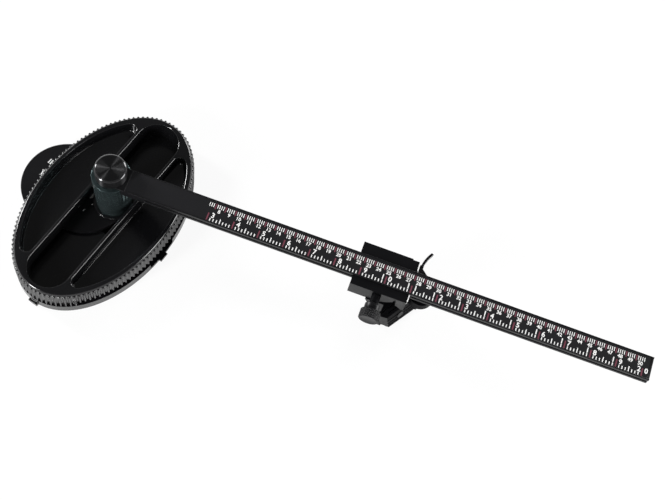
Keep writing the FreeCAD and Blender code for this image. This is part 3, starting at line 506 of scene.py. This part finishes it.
def number(shell, words, x, y, height):
    """Number centred at x and y; its size is height over the digits' share of the font."""
    curve = bpy.data.curves.new("number", "FONT")
    curve.body = words
    curve.resolution_u = 3
    curve.align_x, curve.align_y = "CENTER", "CENTER"
    curve.size = height / DIGIT_SHARE
    curve.offset = BOLDNESS * height
    curve.extrude = PRINT / 2
    holder = bpy.data.objects.new("number", curve)
    bpy.context.scene.collection.objects.link(holder)
    bpy.context.view_layer.update()
    drawn = holder.evaluated_get(bpy.context.evaluated_depsgraph_get())
    mesh = bpy.data.meshes.new_from_object(drawn)
    points = np.empty(len(mesh.vertices) * 3)
    mesh.vertices.foreach_get("co", points)
    points = points.reshape(-1, 3)
    points[:, :2] -= (points[:, :2].min(0) + points[:, :2].max(0)) / 2
    points = points * (SQUEEZE, 1, 1) + (x, y, STRIP_TOP + PRINT / 2)
    shell.add(points, [list(face.vertices) for face in mesh.polygons])
    bpy.data.objects.remove(holder)
    bpy.data.meshes.remove(mesh)
    bpy.data.curves.remove(curve)


# %% [markdown]
# Each mark's distance from the scale's zero is its number times the step. The coarse numbers
# run from 3 to 20, the fine ones from 8 to 50, and the fine ticks start and end a few fifths
# outside them. Every half coarse step has a longer tick. A coarse number of two digits has
# one digit on each side of its red line.

# %% Both scales
SCALE_ZERO = HUB[0] + 11.7
COARSE_STEP, FIRST_COARSE, LAST_COARSE, EIGHTHS = 12.7, 3, 20, 8
FINE_STEP, FIRST_FINE, LAST_FINE = 5, 8, 50
TICKS_BEFORE, TICKS_AFTER = 3, 4
COARSE_NUMBER_ROW, FINE_NUMBER_ROW = NEAR_SIDE + 3.95, NEAR_SIDE + 6.75
COARSE_TICK_START, FINE_TICK_ROW = NEAR_SIDE + 0.85, NEAR_SIDE + 9.1
COARSE_LINE_ROW, FINE_LINE_ROW = NEAR_SIDE + 2.75, FINE_TICK_ROW - 0.3
COARSE_HEIGHT, FINE_HEIGHT = 2.5, 1.8
HALF_TICK, EIGHTH_TICK = 2.5, 1.5
BEFORE_LINE, AFTER_LINE, ONE_DIGIT_AFTER, FINE_AFTER = 1.65, 1.9, 2.3, 2.35


def scale_ticks():
    """White ticks at zero + step * n / parts, left out where a red line stands, and numbers."""
    shell = Shell()
    coarse = np.arange(FIRST_COARSE * EIGHTHS, LAST_COARSE * EIGHTHS + 1)
    coarse = coarse[coarse % EIGHTHS != 0]
    length = np.where(coarse % (EIGHTHS // 2) == 0, HALF_TICK, EIGHTH_TICK)
    row_of_bars(shell, SCALE_ZERO + coarse * COARSE_STEP / EIGHTHS,
                COARSE_TICK_START + length / 2, width=0.45, length=length)
    fine = np.arange(FIRST_FINE * FINE_STEP - TICKS_BEFORE,
                     LAST_FINE * FINE_STEP + TICKS_AFTER + 1)
    fine = fine[fine % FINE_STEP != 0]
    row_of_bars(shell, SCALE_ZERO + fine, FINE_TICK_ROW, width=0.36, length=2.0)
    for step in range(FIRST_COARSE, LAST_COARSE + 1):
        digits = str(step)
        x = SCALE_ZERO + COARSE_STEP * step
        if len(digits) == 1:
            number(shell, digits, x + ONE_DIGIT_AFTER, COARSE_NUMBER_ROW, COARSE_HEIGHT)
        else:
            number(shell, digits[0], x - BEFORE_LINE, COARSE_NUMBER_ROW, COARSE_HEIGHT)
            number(shell, digits[1], x + AFTER_LINE, COARSE_NUMBER_ROW, COARSE_HEIGHT)
    for step in range(FIRST_FINE, LAST_FINE + 1):
        number(shell, str(step), SCALE_ZERO + FINE_STEP * step + FINE_AFTER, FINE_NUMBER_ROW,
               FINE_HEIGHT)
    return shell.piece("scale_print", "arm", "white_mark", smooth=30)


def red_lines():
    """Red lines at zero + step * number, for every number of both scales."""
    shell = Shell()
    coarse = SCALE_ZERO + COARSE_STEP * np.arange(FIRST_COARSE, LAST_COARSE + 1)
    row_of_bars(shell, coarse, COARSE_LINE_ROW, width=0.65, length=3.8)
    fine = SCALE_ZERO + FINE_STEP * np.arange(FIRST_FINE, LAST_FINE + 1)
    row_of_bars(shell, fine, FINE_LINE_ROW, width=0.55, length=2.8)
    return shell.piece("red_print", "arm", "printed_strip", smooth=30)


ticks = scale_ticks()
lines = red_lines()

# %% [markdown]
# The guide plate in the throat has a few small white marks too. They are short plain lines,
# each given by its centre, its width and length, and its turn in degrees. Two stand beside
# the post, deep in the channel, and the others where the plate looks out from under the body.

# %% Marks on the guide plate
GUIDE_TOP = 8.3
PLATE_MARKS = [((-37.1, 8.0), (0.7, 3.2), -5), ((-36.95, 9.4), (1.3, 0.6), -5),
               ((-37.25, 6.6), (1.3, 0.6), -5), ((-36.3, 15.2), (0.6, 2.6), -17),
               ((-35.2, 14.85), (0.6, 2.6), -17), ((-10.15, -3.3), (0.35, 1.5), -30),
               ((-7.4, 1.3), (0.35, 1.5), -30)]


def plate_marks():
    """One bar for each mark, on top of the guide plate."""
    shell = Shell()
    for centre, (width, length), turn in PLATE_MARKS:
        shell.add(*bars(np.array([centre]), [width], [length], GUIDE_TOP, turn))
    return shell.piece("plate_marks", "arm", "white_mark", smooth=30)


marks = plate_marks()


# %% [markdown]
# Materials are made of nodes, and their sums read best as Python. A Value wraps one output
# of a node, and its operators add Math nodes, so that 0.2 + noise * 0.1 means what it says.

# %% Shader maths
class Value:
    """One output of a node; arithmetic on it adds Math nodes."""

    def __init__(self, nodes, socket):
        self.nodes = nodes
        self.socket = socket

    def maths(self, operation, first, second=0.0, clamp=False):
        settings = {"operation": operation, "use_clamp": clamp}
        return self.nodes.node("Math", settings, {0: first, 1: second})

    def __add__(self, other):
        return self.maths("ADD", self, other)

    def __sub__(self, other):
        return self.maths("SUBTRACT", self, other)

    def __rsub__(self, other):
        return self.maths("SUBTRACT", other, self)

    def __mul__(self, other):
        return self.maths("MULTIPLY", self, other)

    def __pow__(self, other):
        return self.maths("POWER", self, other)

    __radd__ = __add__
    __rmul__ = __mul__

    def sine(self):
        return self.maths("SINE", self)

    def highest(self, other):
        return self.maths("MAXIMUM", self, other)

    def held(self):
        """The value kept between nought and one."""
        return self.maths("ADD", self, 0.0, clamp=True)


# %% [markdown]
# Every other node comes from one method, which takes the node's kind, its settings, and
# what goes into its sockets: a number, a colour, or a Value to be linked. Materials use it,
# and so do the table and the room.

# %% Node trees
def colour(r, g, b):
    return (r, g, b, 1)


class Nodes:
    """The emptied node tree of a material or world."""

    def __init__(self, owner):
        owner.use_nodes = True
        self.tree = owner.node_tree
        self.tree.nodes.clear()

    def node(self, kind, settings=(), inputs=(), out=0):
        """Add a node; settings come first, a ramp's stops among them, and then its inputs."""
        made = self.tree.nodes.new("ShaderNode" + kind)
        settings = dict(settings)
        stops = settings.pop("stops", ())
        for name, value in settings.items():
            setattr(made, name, value)
        for index, (position, shade) in enumerate(stops):
            element = made.color_ramp.elements[index]
            element.position, element.color = position, shade
        for socket, value in dict(inputs).items():
            if isinstance(value, Value):
                self.tree.links.new(value.socket, made.inputs[socket])
            else:
                made.inputs[socket].default_value = value
        return Value(self, made.outputs[out])

    def show(self, kind, shader):
        """Link a shader's output to a new output node of the tree."""
        output = self.tree.nodes.new("ShaderNodeOutput" + kind)
        self.tree.links.new(shader, output.inputs["Surface"])


# %% [markdown]
# A finish is built round one Principled shader. What is the same all over, such as the
# index of refraction, is set on the shader's own socket. What varies over the surface comes
# from noise on Object coordinates. These are metres of the frame, so a grain has the same
# size on every piece, and it moves with the piece. An image texture would need an unwrapped
# surface, and would blur close up.

# %% One finish
class Recipe(Nodes):
    """Material round one Principled shader, with constants for its sockets."""

    def __init__(self, name, **constants):
        self.material = bpy.data.materials.new(name)
        super().__init__(self.material)
        self.shader = self.tree.nodes.new("ShaderNodeBsdfPrincipled")
        self.show("Material", self.shader.outputs[0])
        for socket, value in constants.items():
            self.shader.inputs[socket.replace("_", " ")].default_value = value
        self.place = self.node("TexCoord", out="Object")

    def noise(self, per_mm, detail, stretch=(1, 1, 1)):
        """Noise with so many spots to the millimetre, drawn out along an axis by stretch."""
        scale = [per_mm / MM / factor for factor in stretch]
        place = self.node("Mapping", {}, {"Vector": self.place, "Scale": scale}, "Vector")
        return self.node("TexNoise", {}, {"Vector": place, "Scale": 1.0, "Detail": detail}, "Fac")

    def axis(self, name):
        """One coordinate of the place, in millimetres."""
        return self.node("SeparateXYZ", {}, {0: self.place}, name) * (1 / MM)

    def feed(self, socket, value):
        self.tree.links.new(value.socket, self.shader.inputs[socket])

    def paint(self, share, first, second):
        """Base colour between two colours, by a share that is held between nought and one."""
        blend = self.node("Mix", {"data_type": "RGBA"}, {0: share, 6: first, 7: second}, 2)
        self.feed("Base Color", blend)

    def roughness(self, value):
        self.feed("Roughness", value.held())

    def bump(self, height, depth_mm):
        """Relief of so many millimetres from a height between nought and one."""
        relief = {"Distance": depth_mm * MM, "Height": height}
        self.feed("Normal", self.node("Bump", {}, relief, "Normal"))


# %% [markdown]
# The black mouldings have a fine spark-eroded grain, slightly duller and glossier patches,
# and faint dust. How much of the room a black surface mirrors makes it look black or grey,
# so the mouldings differ in index of refraction and least roughness alone. The base and the
# lever are glossy, and the carriage is dull. The near-matt one, which mirrors almost nothing,
# is painted shade: it darkens the lever's boss, the clamp screw's neck, and the foot and its
# plates apart from their front faces, as shade would.

# %% Black mouldings
def moulded_black(name, ior, least):
    """Roughness is least + 0.08 * patches + 0.04 * grain; dust lightens the colour."""
    recipe = Recipe(name, IOR=ior)
    grain = recipe.noise(4.0, 3)
    patches = recipe.noise(0.06, 3)
    dust = (recipe.noise(1.6, 2) - 0.62).held() * 1.2
    recipe.paint((patches * 0.6 + dust).held(), colour(0.003, 0.003, 0.0035),
                 colour(0.008, 0.008, 0.009))
    recipe.roughness(least + patches * 0.08 + grain * 0.04)
    recipe.bump(grain, 0.012)
    return recipe.material


base_moulding = moulded_black("satin_black_moulding", 1.6, 0.1)
head_moulding = moulded_black("dull_black_moulding", 1.24, 0.24)
# Painted shade: a near-matt copy of the black moulding, darker only because it mirrors almost
# nothing.
painted_shade_moulding = moulded_black("matt_black_painted_shade", 1.07, 0.3)
lever_moulding = moulded_black("glossy_black_moulding", 1.7, 0.1)


# %% [markdown]
# Black anodised metal is smoother, with a brushed direction along the bar: the noise is
# drawn out thirty times along X. The cap's top is turned. Its grooves run round the hub, and
# they smear each lamp's reflection across themselves into the wedges of light that run out
# from the middle. That is what the Principled shader's anisotropy does. The cap's chamfer
# is cut brighter.

# %% Black metals
def anodised_black():
    """Roughness is 0.24 + 0.12 * brushed + 0.08 * patches."""
    recipe = Recipe("black_anodised_metal", IOR=1.25)
    brushed = recipe.noise(6.0, 2, (30, 1, 1))
    patches = recipe.noise(0.05, 3)
    recipe.paint((brushed * 0.5 + patches * 0.4).held(), colour(0.004, 0.004, 0.0045),
                 colour(0.011, 0.011, 0.012))
    recipe.roughness(0.24 + brushed * 0.12 + patches * 0.08)
    recipe.bump(brushed, 0.004)
    return recipe.material


def turned_black():
    """Rings about the hub, (sin(26 * distance + 2 * noise) + 1) / 2, in colour and relief."""
    recipe = Recipe("turned_black_metal", IOR=1.5, Metallic=0.75, Anisotropic=1.0,
                    Anisotropic_Rotation=0.25)
    across = recipe.axis("X") - float(HUB[0])
    along = recipe.axis("Y") - float(HUB[1])
    distance = (across * across + along * along) ** 0.5
    rings = (distance * 26 + recipe.noise(0.8, 2) * 2).sine() * 0.5 + 0.5
    recipe.paint(rings, colour(0.010, 0.010, 0.011), colour(0.028, 0.028, 0.029))
    recipe.roughness(0.4 + rings * 0.06)
    recipe.bump(rings, 0.002)
    return recipe.material


def polished_black():
    """The cap's chamfer, slightly uneven."""
    recipe = Recipe("polished_black_edge", IOR=1.5, Metallic=0.6)
    uneven = recipe.noise(1.2, 2)
    recipe.paint(uneven, colour(0.02, 0.02, 0.021), colour(0.05, 0.05, 0.052))
    recipe.roughness(0.08 + uneven * 0.06)
    recipe.bump(uneven, 0.01)
    return recipe.material


bar_metal = anodised_black()
cap_metal = turned_black()
cap_edge = polished_black()


# %% [markdown]
# The post is a dull grey-green metal with the fine rings that a lathe leaves, here at even
# heights. The screws, the pin, the blade, the clamp shoe and the lever's ring are bright
# steel, and the cross shoe and the button are white nylon. Most of these are hidden or very
# small, and what shows of them shows from below and from the sides.

# %% Post, steel and nylon
def turned_grey():
    """Rings (sin(3.2 * height + 5 * noise) + 1) / 2, in colour and relief."""
    recipe = Recipe("dull_turned_metal", IOR=1.5, Metallic=0.8)
    rings = (recipe.axis("Z") * 3.2 + recipe.noise(0.35, 2) * 5).sine() * 0.5 + 0.5
    patches = recipe.noise(0.2, 3)
    recipe.paint((rings * 0.5 + patches * 0.5).held(), colour(0.034, 0.056, 0.058),
                 colour(0.135, 0.175, 0.18))
    recipe.roughness(0.18 + patches * 0.1)
    recipe.bump(rings, 0.015)
    return recipe.material


def bright_steel():
    """Brushed along X, in colour, roughness and relief."""
    recipe = Recipe("bright_steel", IOR=1.5, Metallic=1.0)
    brushed = recipe.noise(5.0, 2, (12, 1, 1))
    recipe.paint(brushed, colour(0.42, 0.42, 0.43), colour(0.58, 0.58, 0.59))
    recipe.roughness(0.2 + brushed * 0.15)
    recipe.bump(brushed, 0.003)
    return recipe.material


def cloudy_nylon():
    """Soft clouds in colour and roughness, and a fine grain in relief."""
    recipe = Recipe("white_nylon", IOR=1.53)
    cloud = recipe.noise(0.4, 3)
    recipe.paint(cloud, colour(0.62, 0.61, 0.57), colour(0.74, 0.73, 0.69))
    recipe.roughness(0.45 + cloud * 0.15)
    recipe.bump(recipe.noise(3.0, 2), 0.008)
    return recipe.material


post_metal = turned_grey()
steel = bright_steel()
nylon = cloudy_nylon()


# %% [markdown]
# The strip is black film, and the inks lie on it with a slightly uneven cover, so that the
# white isn't the flat white of paper and the red stays dark. The index line and the marks on
# the guide plate take the white ink too.

# %% Strip and inks
def strip_film():
    """Specks in colour, roughness and relief."""
    recipe = Recipe("printed_black_strip", IOR=1.38)
    speck = recipe.noise(3.0, 3)
    recipe.paint(speck, colour(0.006, 0.006, 0.007), colour(0.013, 0.013, 0.0145))
    recipe.roughness(0.33 + speck * 0.1)
    recipe.bump(speck, 0.003)
    return recipe.material


def ink(name, thin, full):
    """Colour between thin and full cover, by noise."""
    recipe = Recipe(name, IOR=1.45)
    cover = recipe.noise(2.5, 3)
    recipe.paint(cover, thin, full)
    recipe.roughness(0.5 + cover * 0.15)
    recipe.bump(cover, 0.004)
    return recipe.material


film = strip_film()
white_ink = ink("white_ink", colour(0.7, 0.7, 0.69), colour(0.86, 0.86, 0.85))
red_ink = ink("red_ink", colour(0.10, 0.022, 0.036), colour(0.17, 0.036, 0.058))

# %% [markdown]
# Every piece then gets its finish. Where a piece has a brighter part, or a part darkened as
# painted shade, a test of its faces finds that part, so no piece has to be cut in two for its
# looks. The few CAD nodes that stay as they are take their material in their own slots.

# %% Finishes
def dress(made, *materials, second=None):
    """Give a piece its materials; the second one goes to the faces that a test picks out."""
    made.data.materials.clear()
    for material in materials:
        made.data.materials.append(material)
    if second:
        for face in made.data.polygons:
            face.material_index = int(second(face))
    print(f"{made.name}: {', '.join(material.name for material in materials)}")


def not_in_front(face):
    """Any face but one that looks to the front, along -Y."""
    return face.normal.y > -0.9


def on_boss(face):
    """Faces of the carriage beyond its end at the index line."""
    return face.center.x / MM > INDEX_X + 0.2


def on_chamfer(face):
    """Slanted faces near the cap's top."""
    return face.center.z / MM > 45 and abs(face.normal.z) < 0.95


def on_neck(face):
    """Faces between the screw's start and its collar."""
    return face.center.y / MM > SCREW_START - NECK_LENGTH


BY_SLOT = {"black_plastic": base_moulding, "black_metal": bar_metal, "grey_metal": post_metal,
           "steel": steel, "white_nylon": nylon}
for node, made in rounded.items():
    dress(made, BY_SLOT[ROUNDED[node][1]])
# Painted shade: faces of the foot and its plates that don't look to the front, the carriage's boss
# and the screw's neck take the near-matt copy of the black.
for node in ("foot_block", "blade_arm", "blade_clamp"):
    dress(rounded[node], head_moulding, painted_shade_moulding, second=not_in_front)
dress(rounded["carriage"], head_moulding, painted_shade_moulding, second=on_boss)
dress(rounded["depth_lever"], lever_moulding)
dress(oval, base_moulding)
dress(cap, cap_metal, cap_edge, second=on_chamfer)
dress(screw, bar_metal, painted_shade_moulding, second=on_neck)
dress(ticks, white_ink)
dress(marks, white_ink)
dress(lines, red_ink)
KEPT_NODES = {"scale_strip": film, "index_line": white_ink, "body_screws": steel,
              "shoe_screw": steel, "post_screw": steel, "blade": steel}
for node, material in KEPT_NODES.items():
    dress(frame["nodes"][node], material)


# %% [markdown]
# The photograph looks down at the object from the front and a little to the right, with
# the picture turned by about 17 degrees. The camera's place was worked out from the scale
# on the bar, whose marks are a known distance apart. Its three directions are the image's
# right, the image's down, and the way it looks. The aim is a point on the bar, and the offset
# says where that point is, in millimetres, as seen from the camera along those directions.

# %% Camera
AZIMUTH, ELEVATION, ROLL = (math.radians(angle) for angle in (3.05, 66.88, 16.95))
AIM = Vector((100.86, 7.40, BAR_TOP))
OFFSET = (-12.25, -3.12, 560.05)
FOCAL_PIXELS, PICTURE_WIDTH, SENSOR_WIDTH = 1189.45, 667, 36


def camera():
    """Directions from the angles, and place = aim - offset along them."""
    right = Vector((math.cos(AZIMUTH), math.sin(AZIMUTH), 0))
    ahead = Vector((-math.sin(AZIMUTH) * math.cos(ELEVATION),
                    math.cos(AZIMUTH) * math.cos(ELEVATION), -math.sin(ELEVATION)))
    down = -right.cross(ahead)
    image_right = math.cos(ROLL) * right - math.sin(ROLL) * down
    image_down = math.sin(ROLL) * right + math.cos(ROLL) * down
    place = AIM - OFFSET[0] * image_right - OFFSET[1] * image_down - OFFSET[2] * ahead
    lens = bpy.data.cameras.new("view")
    lens.sensor_width = SENSOR_WIDTH
    lens.lens = FOCAL_PIXELS * SENSOR_WIDTH / PICTURE_WIDTH
    lens.shift_x, lens.shift_y = -0.0019, 0.00075
    lens.clip_start = 0.01
    holder = bpy.data.objects.new("view", lens)
    turn = Matrix((image_right, -image_down, -ahead)).transposed().to_4x4()
    holder.matrix_world = Matrix.Translation(place * MM) @ turn
    bpy.context.scene.collection.objects.link(holder)
    bpy.context.scene.camera = holder
    print("camera at", [round(value) for value in place], "mm")


camera()


# %% [markdown]
# The object lies on a white table. The table's white comes from a share of plain emission
# that the camera sees, so the lamps needn't be bright enough to bleach it. Glossy rays see
# half of that share, because black gloss has to mirror the table too. Other rays see plain
# white paint, so the table keeps the object's shadow.

# %% Table
TABLE_REACH = 3.0
TABLE_DROP = 0.0002
SHARE_SEEN = 0.9
SHARE_MIRRORED = 0.5


def table():
    """Diffuse white and emission; share = 0.9 * max(camera, glossy / 2, transmission)."""
    mesh = bpy.data.meshes.new("table")
    corners = [(x * TABLE_REACH, y * TABLE_REACH, 0)
               for x, y in ((-1, -1), (1, -1), (1, 1), (-1, 1))]
    mesh.from_pydata(corners, [], [(0, 1, 2, 3)])
    made = bpy.data.objects.new("table", mesh)
    made.location.z = -TABLE_DROP
    bpy.context.scene.collection.objects.link(made)
    material = bpy.data.materials.new("white_table")
    nodes = Nodes(material)
    paint = nodes.node("BsdfDiffuse", {}, {"Color": colour(0.93, 0.93, 0.93)})
    white = nodes.node("Emission", {}, {"Color": colour(1, 1, 1)})
    seen, mirrored, through = (nodes.node("LightPath", out=f"Is {ray} Ray")
                               for ray in ("Camera", "Glossy", "Transmission"))
    share = seen.highest(mirrored * SHARE_MIRRORED).highest(through) * SHARE_SEEN
    nodes.show("Material", nodes.node("MixShader", {}, {0: share, 1: paint, 2: white}).socket)
    mesh.materials.append(material)


table()


# %% [markdown]
# Black satin surfaces show what they mirror: upright ones show the lit table, and level ones
# the room above. So the lamps stand low and to the sides, and the room is bright round the
# horizon and dim overhead. Its brightness falls off with the height of the direction, from
# 0.8 near the horizon to 0.09.

# %% Lamps and room
MIDDLE = Vector((0.1, 0, 0.02))
LAMPS = {"left_lamp": ((-0.92, 0.25, 0.42), (0.16, 0.5), 11),
         "front_lamp": ((-0.5, -0.75, 0.4), (0.16, 0.5), 12),
         "right_lamp": ((1.0, 0.1, 0.3), (0.55, 0.4), 9),
         "back_lamp": ((0.42, 0.9, 0.26), (0.3, 0.4), 7)}
HORIZON, OVERHEAD = (0.12, colour(0.8, 0.8, 0.8)), (0.5, colour(0.09, 0.09, 0.09))


def lamp(name, place, size, watts):
    """Area lamp of a width and height in metres, turned towards the object's middle."""
    light = bpy.data.lights.new(name, "AREA")
    light.shape = "RECTANGLE"
    light.size, light.size_y = size
    light.energy = watts
    holder = bpy.data.objects.new(name, light)
    holder.location = place
    holder.rotation_euler = (MIDDLE - Vector(place)).to_track_quat("-Z", "Y").to_euler()
    bpy.context.scene.collection.objects.link(holder)


def room():
    """World colour read off a ramp by the height of the direction."""
    world = bpy.data.worlds.new("room")
    nodes = Nodes(world)
    direction = nodes.node("TexCoord", out="Generated")
    height = nodes.node("SeparateXYZ", {}, {0: direction}, "Z")
    brightness = nodes.node("ValToRGB", {"stops": (HORIZON, OVERHEAD)}, {0: height})
    nodes.show("World", nodes.node("Background", {}, {"Color": brightness}).socket)
    bpy.context.scene.world = world


for name, (place, size, watts) in LAMPS.items():
    lamp(name, place, size, watts)
room()
bpy.context.scene.view_settings.view_transform = "Standard"
